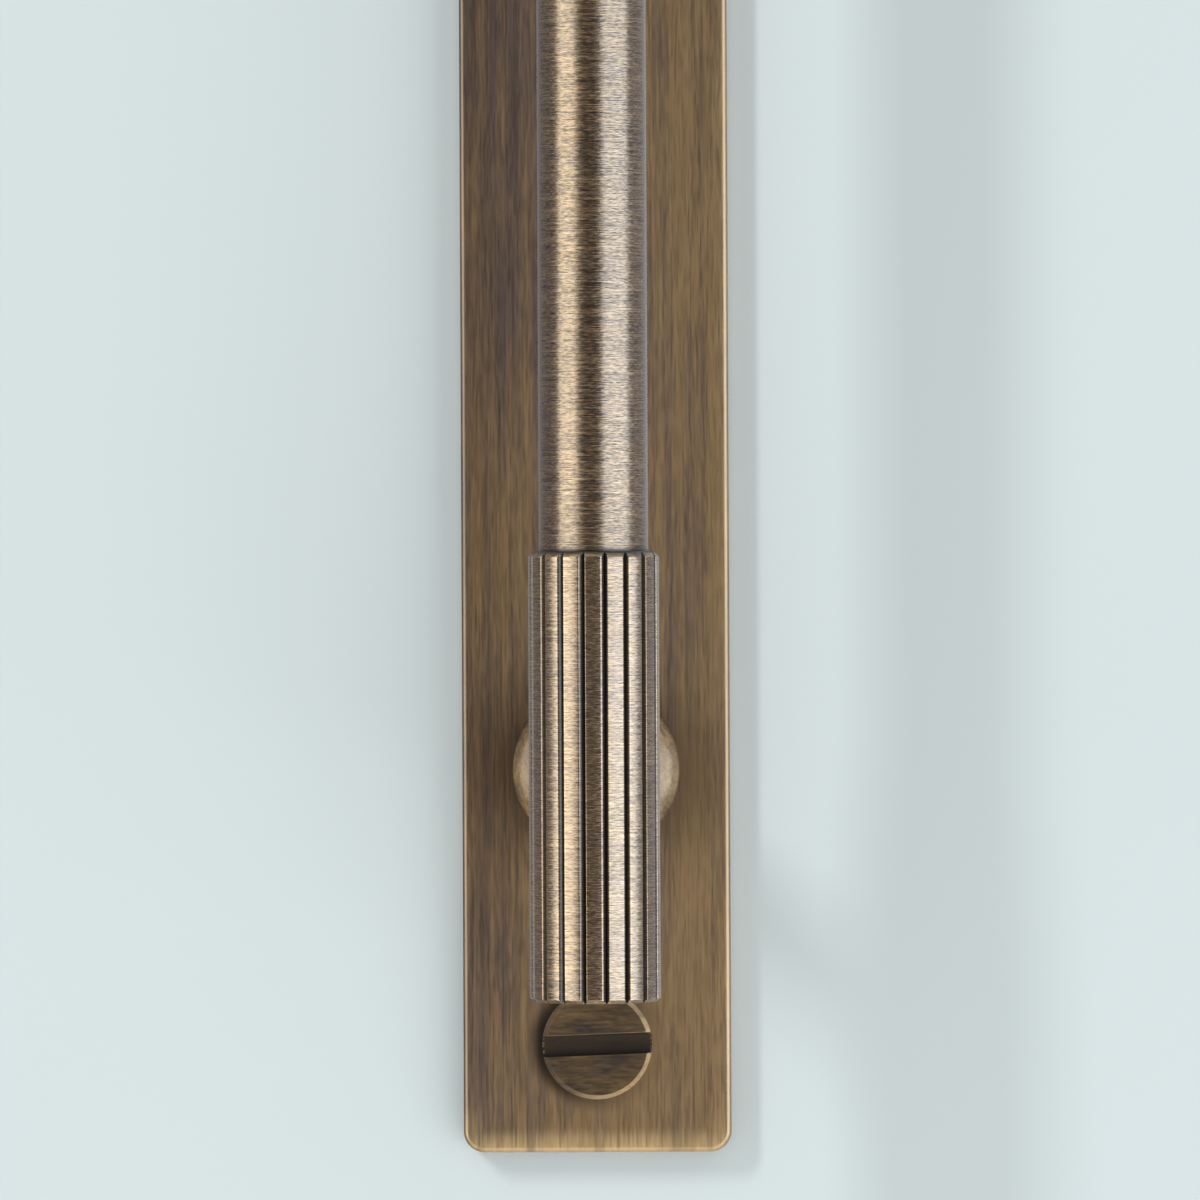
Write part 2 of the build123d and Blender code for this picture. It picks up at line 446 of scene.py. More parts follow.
def eased(corners, steps=7):
    """An outline with its corners eased, as rows of (radius, height, rubbed).

    Each corner is (radius, height, reach, rubbed). A curve replaces it that leaves the outline
    at that reach before the corner and joins it again as far after, drawn towards the corner
    as a quadratic curve is. The rubbed share is highest at the curve's middle.
    """
    corners = np.array(corners, float)
    place, reach, rub = corners[:, :2], corners[1:-1, 2:3], corners[1:-1, 3:4]
    before, after = place[:-2] - place[1:-1], place[2:] - place[1:-1]
    start = place[1:-1] + reach * before / np.linalg.norm(before, axis=1, keepdims=True)
    end = place[1:-1] + reach * after / np.linalg.norm(after, axis=1, keepdims=True)
    t = np.linspace(0.0, 1.0, steps)[None, :, None]
    middle = place[1:-1, None]
    curve = (1 - t) ** 2 * start[:, None] + 2 * t * (1 - t) * middle + t**2 * end[:, None]
    shade = 4 * t * (1 - t) * rub[:, None]
    eased_corners = np.concatenate((curve, shade), axis=2).reshape(-1, 3)
    ends = np.hstack((place[[0, -1]], np.zeros((2, 1))))
    return np.concatenate((ends[:1], eased_corners, ends[1:]))


def divided(outline, step):
    """The same outline with more points, so that none are further apart than step."""
    gaps = np.linalg.norm(np.diff(outline[:, :2], axis=0), axis=1)
    along = np.concatenate(([0.0], np.cumsum(gaps)))
    wanted = np.union1d(along, np.arange(0.0, along[-1], step))
    return np.stack([np.interp(wanted, along, column) for column in outline.T], axis=1)


post_outline = eased(
    [
        (post_hole_radius, post_length / 2, 0, 0),
        (post_hole_radius, 0, broken_edge, 0),
        (foot_radius, 0, broken_edge, 0),
        (foot_radius, foot_edge_height, foot_edge_ease, foot_edge_wear),
        (foot_radius - foot_chamfer_width, foot_chamfer_top, foot_chamfer_ease, foot_chamfer_wear),
        (stem_radius, foot_top, stem_fillet, 0),
        (stem_radius, post_length, broken_edge, 0),
        (post_hole_radius, post_length, broken_edge, 0),
        (post_hole_radius, post_length / 2, 0, 0),
    ]
)
post_outline = divided(post_outline, post_step)

post_brass = aged_brass(
    "brass_turned",
    post_brown,
    post_gold,
    lines=(900.0, 3500.0, 900.0),
    streaks=(250.0, 800.0, 250.0),
    brush=0.25,
    line_tone=0.5,
    streak_tone=1.0,
    roughness=0.48,
    depth=0.004 * MM,
)
for name, side in (("lower_post", -1), ("upper_post", 1)):
    radius, height, rub = post_outline.T
    stem = turned_y(radius, plate_front - height, side * post_z, full_turn(post_columns))
    post = make_piece("turned_" + name, [grid_patch(stem, wear_and_highlight=rub[:, None])], post_brass)
    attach(post, "root")
    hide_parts(name)

# Bar
# A plain round brass rod, brushed round its girth and aged. Its ends sit inside the sleeves,
# where the posts' stems enter it from behind, and painted shade darkens it where it goes into
# their mouths: a dark line in the gap and a softer shade above it.
bar_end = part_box("bar")[1].z
bar_radius = 5.0 * MM
bar_height = 29.0 * MM  # of its axis, over the plate's front
bar_y = plate_front - bar_height
bar_end_ease = 0.3 * MM
pocket_radius = 4.05 * MM
tapped_radius = 2.03 * MM
tapped_depth = 6.5 * MM
mouth_z = min(abs(corner.z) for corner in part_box("lower_sleeve"))
# A painted shadow line where the bar enters a mouth, and a softer painted shade above it
mouth_shadow_share, mouth_shadow_reach = 0.97, 0.3 * MM
mouth_shade_share, mouth_shade_reach = 0.2, 1.4 * MM
bar_columns = 240

bar_grey = (0.234, 0.171, 0.123, 1)
bar_gold = (0.309, 0.209, 0.119, 1)


def turned_z(radius, z, angles):
    """A surface turned about the bar's axis: at each angle the outline of (radius, z).

    The angles start at the front.
    """
    x = radius * np.sin(angles)
    y = bar_y - radius * np.cos(angles)
    return np.stack((x, y, z[:, None] + 0 * x), axis=-1)


def drilled(piece, holes):
    """Cuts hole-shaped solids, each a turned surface, out of a finished piece."""
    for hole in holes:
        drill = make_piece("drill", [grid_patch(hole)], piece.data.materials[0])
        cut = piece.modifiers.new("drill", "BOOLEAN")
        cut.operation = "DIFFERENCE"
        cut.solver = "EXACT"
        cut.object = drill
        graph = bpy.context.evaluated_depsgraph_get()
        mesh = bpy.data.meshes.new_from_object(piece.evaluated_get(graph))
        mesh.set_sharp_from_angle(angle=sharp_angle)
        piece.modifiers.clear()
        piece.data = mesh
        bpy.data.objects.remove(drill)


# Rows of points from a mouth towards the bar's middle, close together where the painted shade
# changes fast
mouth_rows = MM * np.array([0.0, 0.03, 0.06, 0.1, 0.16, 0.3, 0.6, 1.2, 2.2, 3.6])
quarter = np.linspace(0.0, math.pi / 2, 6)
half_body = np.union1d(np.linspace(0.0, bar_end - bar_end_ease, 48), mouth_z - mouth_rows)
half_z = np.concatenate((half_body, bar_end - bar_end_ease * (1 - np.sin(quarter[1:])), [bar_end]))
half_radius = np.concatenate(
    (bar_radius + 0 * half_body, bar_radius - bar_end_ease * (1 - np.cos(quarter[1:])), [0.0])
)
bar_z = np.concatenate((-half_z[:0:-1], half_z))
bar_profile = np.concatenate((half_radius[:0:-1], half_radius))[:, None]
above_mouth = mouth_z - np.abs(bar_z)
mouth_shadow_line = mouth_shadow_share * np.exp(-((above_mouth / mouth_shadow_reach) ** 2))
mouth_shade = mouth_shade_share * np.exp(-above_mouth / mouth_shade_reach)
bar_shade = np.maximum(mouth_shadow_line, mouth_shade)
bar_shade = np.where(above_mouth < -weld_distance, 0.0, bar_shade)[:, None]

bar_brass = aged_brass(
    "brass_brushed_round",
    bar_grey,
    bar_gold,
    lines=(420.0, 420.0, 14000.0),
    streaks=(160.0, 160.0, 600.0),
    brush=0.72,
    line_tone=1.4,
    streak_tone=0.6,
    roughness=0.25,
    depth=0.032 * MM,
    sway=0.07,
)
rod = turned_z(bar_profile, bar_z, full_turn(bar_columns))
brushed_bar = make_piece("brushed_bar", [grid_patch(rod, grime_and_shade=bar_shade)], bar_brass)
seat_y = plate_front - post_length
seat_radius = np.array([0.0, tapped_radius, tapped_radius, pocket_radius, pocket_radius, 0.0])
seat_depth = np.array([-tapped_depth, -tapped_depth, 0.0, 0.0, post_length / 2, post_length / 2])
half_step = math.pi / hole_columns  # so that a drill's edges miss those of the mesh
drill_turn = full_turn(hole_columns) + half_step
drilled(
    brushed_bar,
    [turned_y(seat_radius, seat_y + seat_depth, side * post_z, drill_turn) for side in (-1, 1)],
)
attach(brushed_bar, "root")
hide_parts("bar")

# Sleeves
# Two caps turned from thicker rod, bored to slide over the bar's ends and drilled for the posts,
# with eighteen V grooves milled along them through both chamfered ends. The ridges are brushed
# round like the bar, their edges are a little rubbed and old grime lies deep in the grooves.
sleeve_radius = 6.0 * MM
sleeve_bore_radius = 5.05 * MM
sleeve_end_wall = 3.0 * MM
sleeve_mouth_chamfer = 0.45 * MM
sleeve_end_chamfer = 0.3 * MM
flute_count = 18
flute_width = 0.6 * MM
flute_depth = 0.42 * MM
flute_lean = 0.1 * MM  # the valley's shift from the groove's middle
shoulder_ease = 0.15 * MM  # half the width of the soft shoulder before a groove
arris_ease = 0.04 * MM  # half the width of the crisp edge after it
ridge_wear = 0.45
flank_grime, flank_grime_start, flank_grime_end = 0.75, 0.02 * MM, 0.09 * MM  # by the depth of cut
valley_grime, valley_grime_start = 0.23, 0.16 * MM  # added from there down to the valley
grime_blend = 0.03 * MM  # how far below the turned outline a groove holds all of its grime
wear_blend = 0.05 * MM  # and shows nothing of the outline's wear
skin_margin = 0.2 * MM  # from the bore and from the skin, between which the ridges' wear rises
# A painted shadow along the mouth's chamfer, where the gap round the bar lies in shade
lip_shadow, lip_shadow_start, lip_shadow_end = 0.9, 0.05 * MM, 0.3 * MM  # from the mouth
chamfer_softness = 0.012 * MM
end_face_ease, end_face_wear = 0.03 * MM, 0.6
end_edge_ease, end_edge_wear = 0.06 * MM, 0.8
mouth_ease, mouth_edge_wear, mouth_face_wear = 0.2 * MM, 0.5, 0.3
sleeve_step = 1.2 * MM  # the furthest apart that its rings of points lie

sleeve_grey = (0.278, 0.202, 0.146, 1)
sleeve_gold = (0.366, 0.251, 0.142, 1)

flute_pitch = 2 * math.pi * sleeve_radius / flute_count
shoulder, arris = -flute_width / 2, flute_width / 2
across_flute = np.concatenate(
    (
        np.linspace(-flute_pitch / 2, shoulder - shoulder_ease, 6)[:-1],
        np.linspace(shoulder - shoulder_ease, shoulder + shoulder_ease, 11)[:-1],
        np.linspace(shoulder + shoulder_ease, flute_lean, 6)[:-1],
        np.linspace(flute_lean, arris - arris_ease, 5)[:-1],
        np.linspace(arris - arris_ease, arris + arris_ease, 6)[:-1],
        np.linspace(arris + arris_ease, flute_pitch / 2, 6)[:-1],
    )
)
flute_centres = (np.arange(flute_count) + 0.5) * flute_pitch
across = (flute_centres[:, None] + across_flute).ravel()
from_flute = np.tile(across_flute, flute_count)


def eased_flank(run, slope, ease):
    """How deep a straight flank lies after a run from its edge.

    A parabola eases the edge over a width of ease on either side of it.
    """
    past = np.clip(run + ease, 0.0, None)
    return np.where(past < 2 * ease, slope * past**2 / (4 * ease), slope * run)


def flute_cut(place):
    """How deep a groove lies below the sleeve's round, at a place across it.

    The shallower of two flanks: one goes down from a soft shoulder, and the other, which is
    steeper, up to a crisp edge.
    """
    down = flute_depth / (flute_lean - shoulder)
    up = flute_depth / (arris - flute_lean)
    return np.minimum(
        eased_flank(place - shoulder, down, shoulder_ease),
        eased_flank(arris - place, up, arris_ease),
    )


cut = flute_cut(from_flute)
edge_rubbed = ridge_wear * np.clip(1.0 - np.abs(from_flute - arris) / (2 * arris_ease), 0.0, 1.0)
flute_grimy = (
    flank_grime * smooth_step(cut, flank_grime_start, flank_grime_end)
    + valley_grime * smooth_step(cut, valley_grime_start, flute_depth)
)


def fluted(outline, sign):
    """The sleeve's surface: the turned outline, cut by the flutes.

    At each angle the radius is the softened minimum of the outline's radius and the flutes'.
    The ridges' edges are rubbed all along. Grime lies where the flutes are the deeper, and a
    painted shadow at the mouth, where the gap round the bar lies in shade.
    """
    blank = outline[:, :1]
    flutes = (sleeve_radius - cut)[None, :]
    below_flutes = blank - flutes
    softened = chamfer_softness * np.exp(-np.abs(below_flutes) / chamfer_softness)
    radius = np.minimum(blank, flutes) - softened
    points = turned_z(radius, sign * outline[:, 1], -sign * across[None, :] / sleeve_radius)
    in_flute = np.clip(below_flutes / grime_blend, 0.0, 1.0)
    on_blank = 1.0 - np.clip(below_flutes / wear_blend, 0.0, 1.0)
    outside = smooth_step(blank, sleeve_bore_radius + skin_margin, sleeve_radius - skin_margin)
    rub = np.maximum(outline[:, 2:3] * on_blank, edge_rubbed * outside)
    from_mouth = outline[:, 1:2] - outline[:, 1].min()
    lip_shadow_mask = lip_shadow * (1.0 - smooth_step(from_mouth, lip_shadow_start, lip_shadow_end))
    return points, rub, np.maximum(in_flute * flute_grimy, lip_shadow_mask)


sleeve_brass = aged_brass(
    "brass_fluted",
    sleeve_grey,
    sleeve_gold,
    lines=(420.0, 420.0, 14000.0),
    streaks=(160.0, 160.0, 600.0),
    brush=0.58,
    line_tone=1.4,
    streak_tone=0.6,
    roughness=0.25,
    depth=0.026 * MM,
    sway=0.07,
)
cross_radius = np.array([0.0, pocket_radius, pocket_radius, 0.0])
cross_y = np.array([bar_y, bar_y, bar_y + post_length / 2, bar_y + post_length / 2])
for name, side in (("lower_sleeve", -1), ("upper_sleeve", 1)):
    sleeve_low, sleeve_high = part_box(name)
    inner_z, outer_z = sorted((abs(sleeve_low.z), abs(sleeve_high.z)))
    bore_floor = outer_z - sleeve_end_wall
    skin = eased(
        [
            (0, outer_z, 0, 0),
            (sleeve_radius - sleeve_end_chamfer, outer_z, end_face_ease, end_face_wear),
            (sleeve_radius, outer_z - sleeve_end_chamfer, end_edge_ease, end_edge_wear),
            (sleeve_radius, inner_z + sleeve_mouth_chamfer, mouth_ease, mouth_edge_wear),
            (sleeve_radius - sleeve_mouth_chamfer, inner_z, mouth_ease, mouth_face_wear),
            (sleeve_bore_radius, inner_z, broken_edge, 0),
            (sleeve_bore_radius, bore_floor, broken_edge, 0),
            (0, bore_floor, 0, 0),
        ]
    )
    points, rub, dirt = fluted(divided(skin, sleeve_step), side)
    skin_patch = grid_patch(points, wear_and_highlight=rub, grime_and_shade=dirt)
    sleeve = make_piece("fluted_" + name, [skin_patch], sleeve_brass)
    drilled(sleeve, [turned_y(cross_radius, cross_y, side * post_z, drill_turn)])
    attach(sleeve, "root")
    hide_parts(name)

# Post screws
# Two plain steel machine screws, zinc plated, driven from behind the plate up through the
# posts into the bar. Only their countersunk heads show, just below the plate's back.
zinc_dark = (0.42, 0.41, 0.39, 1)
zinc_light = (0.66, 0.65, 0.62, 1)
zinc_roughness, zinc_spread = 0.2, 0.3  # the least, and how much the spangles add to it

zinc = bpy.data.materials.new("zinc_plated_steel")
zinc.use_nodes = True
zinc_tree = zinc.node_tree
zinc_shader = zinc_tree.nodes["Principled BSDF"]
zinc_place = put(zinc_tree, "ShaderNodeTexCoord", {}).outputs["Object"]
spangle = put(zinc_tree, "ShaderNodeTexNoise", {"Vector": zinc_place, "Scale": 900.0}).outputs[0]
zinc_colour = blended(zinc_tree, spangle, zinc_dark, zinc_light)
zinc_matt = scaled_sum(zinc_tree, spangle, zinc_spread, zinc_roughness)
zinc_tree.links.new(zinc_colour, zinc_shader.inputs["Base Color"])
zinc_tree.links.new(zinc_matt, zinc_shader.inputs["Roughness"])
zinc_shader.inputs["Metallic"].default_value = 1.0
post_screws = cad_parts["post_screws"]
post_screws.data.materials.clear()
post_screws.data.materials.append(zinc)

# Face screws
# Two slotted wood screws of aged brass through the plate's face. Their flat heads are brushed
# along the slot and a little rubbed round the chamfered rim, more brightly to the right as a
# painted highlight, with painted shade on the rim's left and in the slot, darker to its lower
# side, and a wood thread runs to the point.
face_screw_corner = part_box("face_screws")[1]
head_radius = face_screw_corner.x
face_screw_point = face_screw_corner.y
head_height = 2.0 * MM
head_chamfer = 0.4 * MM
head_ease = 0.08 * MM
slot_half_width = 0.975 * MM
slot_depth = 1.2 * MM
slot_angle = math.radians(2.2)
shank_radius = 2.1 * MM
shank_overrun = 2.0 * MM
thread_root_radius = 1.5 * MM
thread_crest_radius = 2.1 * MM
thread_pitch = 1.8 * MM
thread_tip_length = 5.0 * MM
thread_runout = 0.3 * MM
ridge_half_width = 0.3  # of the pitch
core_taper, ridge_taper = 0.8, 0.5  # powers of the share of the tip that is left
thread_lead, point_gap = 0.1 * MM, 0.05 * MM  # from the shank and the point to the thread's rows
thread_rows = 180
floor_row = 0.1 * MM  # a row of points over the slot's floor
chamfer_margin = 0.02 * MM  # from the chamfer's foot to where its wear starts
arc_steps, chord_steps, slot_end_steps = 61, 41, 13
top_rings = np.array([0.0, 0.02, 0.12, 0.35, 0.65, 1.0])  # from the edge of a half to its middle
# The chamfer's wear rises to a painted highlight on its right, and a painted shade darkens its
# left
chamfer_wear_and_highlight = 1.0  # of the chamfer, at its right
rim_shade_share = 0.5  # at its left
halfway_wear_and_highlight = 0.55  # of the wear at the right, half way round to the left
band_wear = 0.1  # of the head's side
slot_wear = 0.2  # of the wear at the rim, along the slot
crest_wear = 0.5
# Painted shade on the slot's floor, darker towards its lower side
slot_low_shade, slot_high_shade = 0.98, 0.7  # at the lower and the upper side of the slot's floor

screw_brown = (0.078, 0.056, 0.049, 1)
screw_gold = (0.228, 0.146, 0.062, 1)


def half_head(inset, wall, height):
    """One half of a slotted head, as loops at rising heights.

    Each loop is a circle's arc, brought in by inset, closed by a straight chord along the slot,
    which stands wall away from the slot's side.
    """
    inset, wall, height = inset[:, None], wall[:, None], height[:, None]
    radius = head_radius - inset
    chord_y = slot_half_width + wall
    start = np.arcsin(chord_y / radius)
    share = np.linspace(0.0, 1.0, arc_steps)[None, :]
    angle = start + (math.pi - 2 * start) * share
    back = np.linspace(-1.0, 1.0, chord_steps)[None, 1:-1]
    along = np.hstack((radius * np.cos(angle), radius * np.cos(start) * back))
    across_slot = np.hstack((radius * np.sin(angle), chord_y + 0 * back))
    return along, across_slot, height + 0 * along


def head_place(along, across_slot, height, centre_z, half):
    """Points of a head from places along and across its slot and heights above the plate.

    The slot is turned a little from level, and the second half is the first turned half round.
    """
    cos, sin = half * math.cos(slot_angle), half * math.sin(slot_angle)
    x = along * cos - across_slot * sin
    z = centre_z + along * sin + across_slot * cos
    return np.stack((x, plate_front - height + 0 * x, z), axis=-1)


def threaded_radius(y, angle):
    """The screw's radius below its head: a plain shank, then a core with a helical ridge.

    The ridge is a triangle wave of the height less the angle, over the pitch. Core and ridge
    shrink together over the tip, and the ridge grows out of the shank over one pitch. Beside the
    radius comes how much of a ridge there is, from 0 to 1.
    """
    thread_start = shank_overrun + thread_runout
    turn = y / thread_pitch - angle / (2 * math.pi)
    ridge = np.clip(1.0 - np.abs(turn - np.floor(turn) - 0.5) / ridge_half_width, 0.0, 1.0)
    grown = np.clip((y - thread_start) / thread_pitch, 0.0, 1.0)
    tip = np.clip((face_screw_point - y) / thread_tip_length, 0.0, 1.0)
    core = thread_root_radius * tip**core_taper
    thread = core + (thread_crest_radius - thread_root_radius) * ridge * grown * tip**ridge_taper
    into_thread = np.clip((y - shank_overrun) / thread_runout, 0.0, 1.0)
    return shank_radius + (thread - shank_radius) * into_thread, ridge * grown


slot_floor = head_height - slot_depth
chamfer_base = head_height - head_chamfer
ease = np.linspace(0.0, math.pi / 2, 5)
half_height = np.concatenate(
    (
        [slot_floor, slot_floor + floor_row, chamfer_base - head_ease],
        chamfer_base + np.linspace(0.0, head_chamfer - head_ease, 6),
        head_height - head_ease * (1 - np.sin(ease)),
    )
)
half_inset = np.clip(half_height - chamfer_base, 0.0, None)
half_wall = np.zeros_like(half_height)
half_wall[-len(ease) :] = head_ease * (1 - np.cos(ease))
half_along, half_across, half_rise = half_head(half_inset, half_wall, half_height)

on_arc = np.arange(arc_steps + chord_steps - 2) < arc_steps
on_chamfer = half_inset > chamfer_margin
on_rim = np.outer(on_chamfer, on_arc)
half_rub = np.where(on_chamfer, chamfer_wear_and_highlight, band_wear)[:, None]
half_rub = half_rub * np.where(on_arc, 1.0, slot_wear)
# Painted shade on the slot's walls, deeper towards its floor
half_slot_shade = np.where(on_arc, 0.0, smooth_step(-half_height, -chamfer_base, -slot_floor)[:, None])
at_edge = top_rings == 0.0

slot_start = math.asin(slot_half_width / head_radius)
slot_end = np.linspace(-slot_start, slot_start, slot_end_steps)
floor_across = head_radius * np.sin(slot_end)[:, None]
floor_along = np.sqrt(head_radius**2 - floor_across**2) * np.linspace(-1.0, 1.0, chord_steps)
floor_shade = np.linspace(slot_low_shade, slot_high_shade, slot_end_steps)[:, None]

arc = np.linspace(slot_start, math.pi - slot_start, arc_steps)
head_angles = np.concatenate((arc, math.pi + slot_end[1:-1], math.pi + arc, slot_end[1:-1]))
head_cos, head_sin = np.cos(head_angles), np.sin(head_angles)
band_radius = np.full((2, 1), head_radius)
band_rise = np.array([[0.0], [slot_floor]])
shank_y = np.concatenate(
    (
        [plate_front, 0.0, shank_overrun],
        np.linspace(shank_overrun + thread_lead, face_screw_point - point_gap, thread_rows),
        [face_screw_point],
    )
)[:, None]
screw_radius, crest = threaded_radius(shank_y, head_angles)
crest = np.concatenate((0 * crest[:1], crest))
shank_rise = plate_front - shank_y

screw_brass = aged_brass(
    "brass_brushed_across",
    screw_brown,
    screw_gold,
    lines=(250.0, 1200.0, 4500.0),
    streaks=(140.0, 300.0, 900.0),
    brush=0.1,
    line_tone=0.3,
    streak_tone=2.2,
    roughness=0.38,
    depth=0.004 * MM,
)
screw_patches = []
for side in (-1, 1):
    centre_z = side * face_screw_z
    for half in (1, -1):
        loops = head_place(half_along, half_across, half_rise, centre_z, half)
        top = loops[-1]
        top = top + top_rings[:, None, None] * (top.mean(axis=0) - top)
        rightwards = half * half_along / head_radius
        # Wear with a painted highlight growing to the right, and painted shade on the rim's left
        rub = half_rub * (halfway_wear_and_highlight + (1 - halfway_wear_and_highlight) * rightwards)
        screw_shade = np.maximum(half_slot_shade, rim_shade_share * on_rim * np.clip(-rightwards, 0.0, 1.0))
        top_rub, top_shade = np.outer(at_edge, rub[-1]), np.outer(at_edge, screw_shade[-1])
        screw_patches.append(grid_patch(loops, wear_and_highlight=rub, grime_and_shade=screw_shade))
        screw_patches.append(grid_patch(top, wear_and_highlight=top_rub, grime_and_shade=top_shade))
    floor = head_place(floor_along, floor_across, slot_floor, centre_z, 1)
    band = head_place(band_radius * head_cos, band_radius * head_sin, band_rise, centre_z, 1)
    shank = head_place(screw_radius * head_cos, screw_radius * head_sin, shank_rise, centre_z, 1)
    shank = np.concatenate((band[:1], shank))
    screw_patches.append(grid_patch(floor, closed=False, grime_and_shade=floor_shade))
    screw_patches.append(grid_patch(band, wear_and_highlight=band_wear))
    screw_patches.append(grid_patch(shank, wear_and_highlight=crest_wear * crest))
slotted_screws = make_piece("slotted_face_screws", screw_patches, screw_brass)
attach(slotted_screws, "root")
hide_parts("face_screws")

# Door panel
# The pale painted panel that the handle is screwed to. Seen from behind it lets the view
# through, and it is open behind the plate, so that the plate's back and the screw points can be
# looked at.
panel_reach = 0.3
panel_gap = 0.05 * MM
window_inset = 0.5 * MM
panel_colour = (0.632, 0.709, 0.715, 1)
panel_shade = (0.614, 0.691, 0.697, 1)


def flat_card(name, corners, window=()):
    """A flat sheet between corners, which belongs to the studio and not to the handle.

    Window corners, if there are any, leave an opening, one beside each of the others.
    """
    here = np.arange(len(corners))
    after = np.roll(here, -1)
    ring = np.stack((here, after, after + len(corners), here + len(corners)), axis=-1)
    mesh = bpy.data.meshes.new(name)
    mesh.from_pydata([*corners, *window], [], ring.tolist() if window else [here.tolist()])
    card = bpy.data.objects.new(name, mesh)
    bpy.context.scene.collection.objects.link(card)
    return card


panel_corners = ((-1, -1), (1, -1), (1, 1), (-1, 1))
window_x, window_z = plate_half_width - window_inset, plate_half_length - window_inset
door_panel = flat_card(
    "door_panel",
    [(panel_reach * x, panel_gap, panel_reach * z) for x, z in panel_corners],
    [(window_x * x, panel_gap, window_z * z) for x, z in panel_corners],
)
paint = bpy.data.materials.new("pale_paint")
paint.use_nodes = True
paint_tree = paint.node_tree
paint_shader = paint_tree.nodes["Principled BSDF"]
paint_place = put(paint_tree, "ShaderNodeTexCoord", {}).outputs["Object"]
mottle = put(paint_tree, "ShaderNodeTexNoise", {"Vector": paint_place, "Scale": 18.0}).outputs[0]
paint_tree.links.new(
    blended(paint_tree, mottle, panel_shade, panel_colour), paint_shader.inputs["Base Color"]
)
paint_shader.inputs["Roughness"].default_value = 0.7
paint_shader.inputs["Specular IOR Level"].default_value = 0.2
behind = put(paint_tree, "ShaderNodeNewGeometry", {}).outputs["Backfacing"]
clear = put(paint_tree, "ShaderNodeBsdfTransparent", {}).outputs[0]
one_sided = put(
    paint_tree, "ShaderNodeMixShader", {0: behind, 1: paint_shader.outputs[0], 2: clear}
)
paint_output = paint_tree.nodes["Material Output"]
paint_tree.links.new(one_sided.outputs[0], paint_output.inputs["Surface"])
door_panel.data.materials.append(paint)

# Light
# Two broad soft boxes, one each side, for the metal to mirror, and for the panel a slim key lamp
# and a wide fill lamp. Cards that glow dimly in front, below and on both sides, and show in
# mirrors alone, fill the metal between the boxes. Two boxes behind light the plate's back.
lamp_distance = 1.0
lamp_aim = Vector((0.0, bar_y, 0.02))  # a little above the bar's middle
white = (1.0, 1.0, 1.0)
left_tint = (0.945, 1.0, 1.0)
right_tint = (0.67, 0.81, 1.0)
world_pale = (0.56, 0.58, 0.58, 1)
world_fill = (0.68, 0.68, 0.68, 1)
front_grey = (0.160, 0.138, 0.120, 1)
floor_grey = (0.900, 0.840, 0.800, 1)
left_flag_grey = (0.290, 0.280, 0.290, 1)
right_flag_grey = (0.460, 0.475, 0.520, 1)


def soft_box(name, azimuth, elevation, width, height, radiance, tint):
    """A flat lamp that faces the handle. Azimuth 0 is the front and 90 the right, in degrees."""
    a, e = math.radians(azimuth), math.radians(elevation)
    towards = Vector((math.sin(a) * math.cos(e), -math.cos(a) * math.cos(e), math.sin(e)))
    lamp = bpy.data.lights.new(name, "AREA")
    lamp.shape = "RECTANGLE"
    lamp.size = width
    lamp.size_y = height
    lamp.energy = radiance * math.pi * width * height
    lamp.color = tint
    holder = bpy.data.objects.new(name, lamp)
    holder.location = lamp_aim + lamp_distance * towards
    holder.rotation_euler = towards.to_track_quat("Z", "Y").to_euler()
    holder.visible_camera = False
    bpy.context.scene.collection.objects.link(holder)
    return holder


left_box = soft_box(
    "left_box", azimuth=-54.5, elevation=-6, width=0.74, height=0.65, radiance=2.3, tint=left_tint
)
right_box = soft_box(
    "right_box", azimuth=51, elevation=-9, width=1.16, height=0.65, radiance=2.95, tint=right_tint
)
for box in (left_box, right_box):
    box.visible_diffuse = False
key_lamp = soft_box(
    "key_lamp", azimuth=-46.5, elevation=29, width=0.10, height=0.32, radiance=40.0, tint=white
)
fill_lamp = soft_box(
    "fill_lamp", azimuth=45, elevation=-44, width=1.20, height=1.20, radiance=1.3, tint=white
)
for lamp in (key_lamp, fill_lamp):
    lamp.visible_glossy = False
for name, azimuth in (("back_left_box", -140), ("back_right_box", 140)):
    soft_box(name, azimuth, elevation=20, width=0.9, height=0.9, radiance=1.2, tint=white)


def dim_card(name, grey, corners):
    """A card that glows dimly and evenly, and shows in mirrors alone."""
    glow = bpy.data.materials.new(name)
    glow.use_nodes = True
    tree = glow.node_tree
    light = put(tree, "ShaderNodeEmission", {"Color": grey, "Strength": 1.0})
    tree.links.new(light.outputs[0], tree.nodes["Material Output"].inputs["Surface"])
    made = flat_card(name, corners)
    made.visible_camera = False
    made.visible_diffuse = False
    made.visible_shadow = False
    made.data.materials.append(glow)


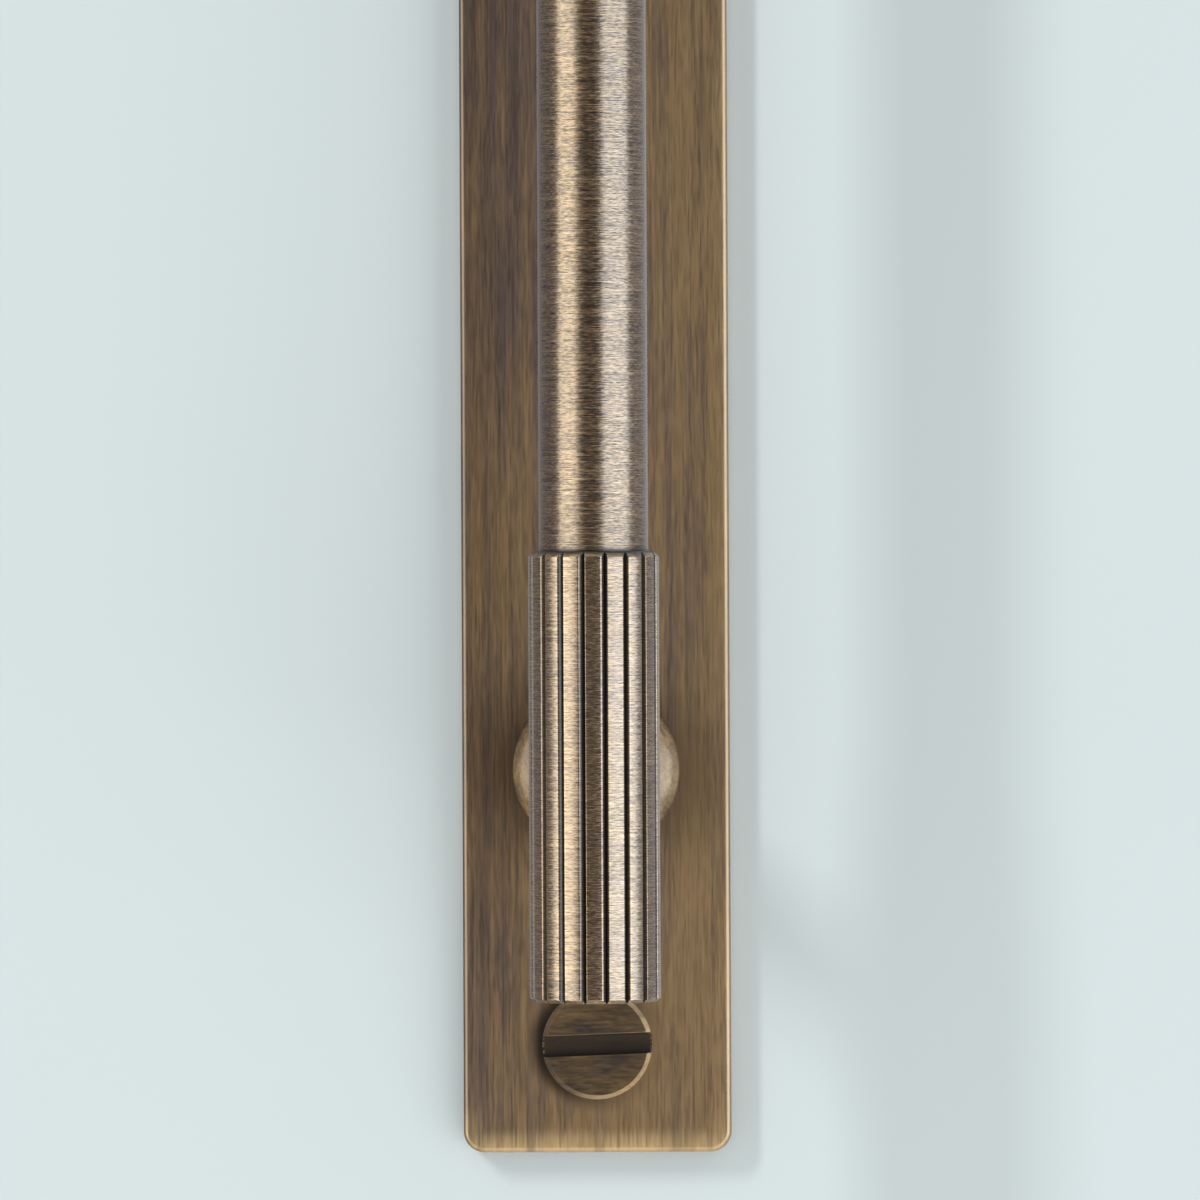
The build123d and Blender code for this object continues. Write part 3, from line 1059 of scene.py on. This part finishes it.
card_reach = 0.9
front_y, front_left, front_right = -1.25, -0.56, 0.43
floor_z, floor_near, floor_reach = -0.5, 0.0, 0.5
flag_start, flag_end, flag_depth, flag_reach = 0.0135, 0.45, -0.11, 0.5
dim_card(
    "front_card",
    front_grey,
    [
        (front_left, front_y, -card_reach),
        (front_left, front_y, card_reach),
        (front_right, front_y, card_reach),
        (front_right, front_y, -card_reach),
    ],
)
dim_card(
    "floor_card",
    floor_grey,
    [
        (-floor_reach, front_y, floor_z),
        (floor_reach, front_y, floor_z),
        (floor_reach, floor_near, floor_z),
        (-floor_reach, floor_near, floor_z),
    ],
)
for name, side, grey in (("left", -1, left_flag_grey), ("right", 1, right_flag_grey)):
    near, far = side * flag_start, side * flag_end
    dim_card(
        name + "_wall_flag",
        grey,
        [
            (near, -panel_gap, -flag_reach),
            (far, -panel_gap, -flag_reach),
            (far, -panel_gap, flag_reach),
            (near, -panel_gap, flag_reach),
        ],
    )
    dim_card(
        name + "_side_flag",
        grey,
        [
            (far, 0.0, -flag_reach),
            (far, flag_depth, -flag_reach),
            (far, flag_depth, flag_reach),
            (far, 0.0, flag_reach),
        ],
    )

world = bpy.data.worlds.new("studio")
world.use_nodes = True
world_tree = world.node_tree
sight = put(world_tree, "ShaderNodeLightPath", {})
seen = put(
    world_tree,
    "ShaderNodeMath",
    {0: sight.outputs["Is Camera Ray"], 1: sight.outputs["Is Glossy Ray"]},
    operation="MAXIMUM",
)
seen = put(
    world_tree,
    "ShaderNodeMath",
    {0: seen.outputs[0], 1: sight.outputs["Is Transmission Ray"]},
    operation="MAXIMUM",
)
world_colour = blended(world_tree, seen.outputs[0], world_fill, world_pale)
world_tree.links.new(world_colour, world_tree.nodes["Background"].inputs["Color"])
bpy.context.scene.world = world

# Camera
# It looks almost straight at the plate's lower half, a little turned, with a long lens, so that
# the top of the handle runs out of the picture.
camera_distance = 0.740  # to the bar's axis
camera_x = 4.2 * MM
camera_z = -63.93 * MM
camera_roll = math.radians(0.26)
camera_yaw = math.radians(0.28)
image_pixels = 1200
focal_pixels = 8110

lens = bpy.data.cameras.new("camera")
lens.sensor_width = 36.0
lens.lens = lens.sensor_width * focal_pixels / image_pixels
lens.clip_start = 0.05
lens.clip_end = 20.0
camera = bpy.data.objects.new("camera", lens)
camera.location = (camera_x, bar_y - camera_distance, camera_z)
camera.rotation_euler = (math.pi / 2, camera_roll, camera_yaw)
bpy.context.scene.collection.objects.link(camera)
bpy.context.scene.camera = camera
bpy.context.scene.view_settings.view_transform = "Standard"
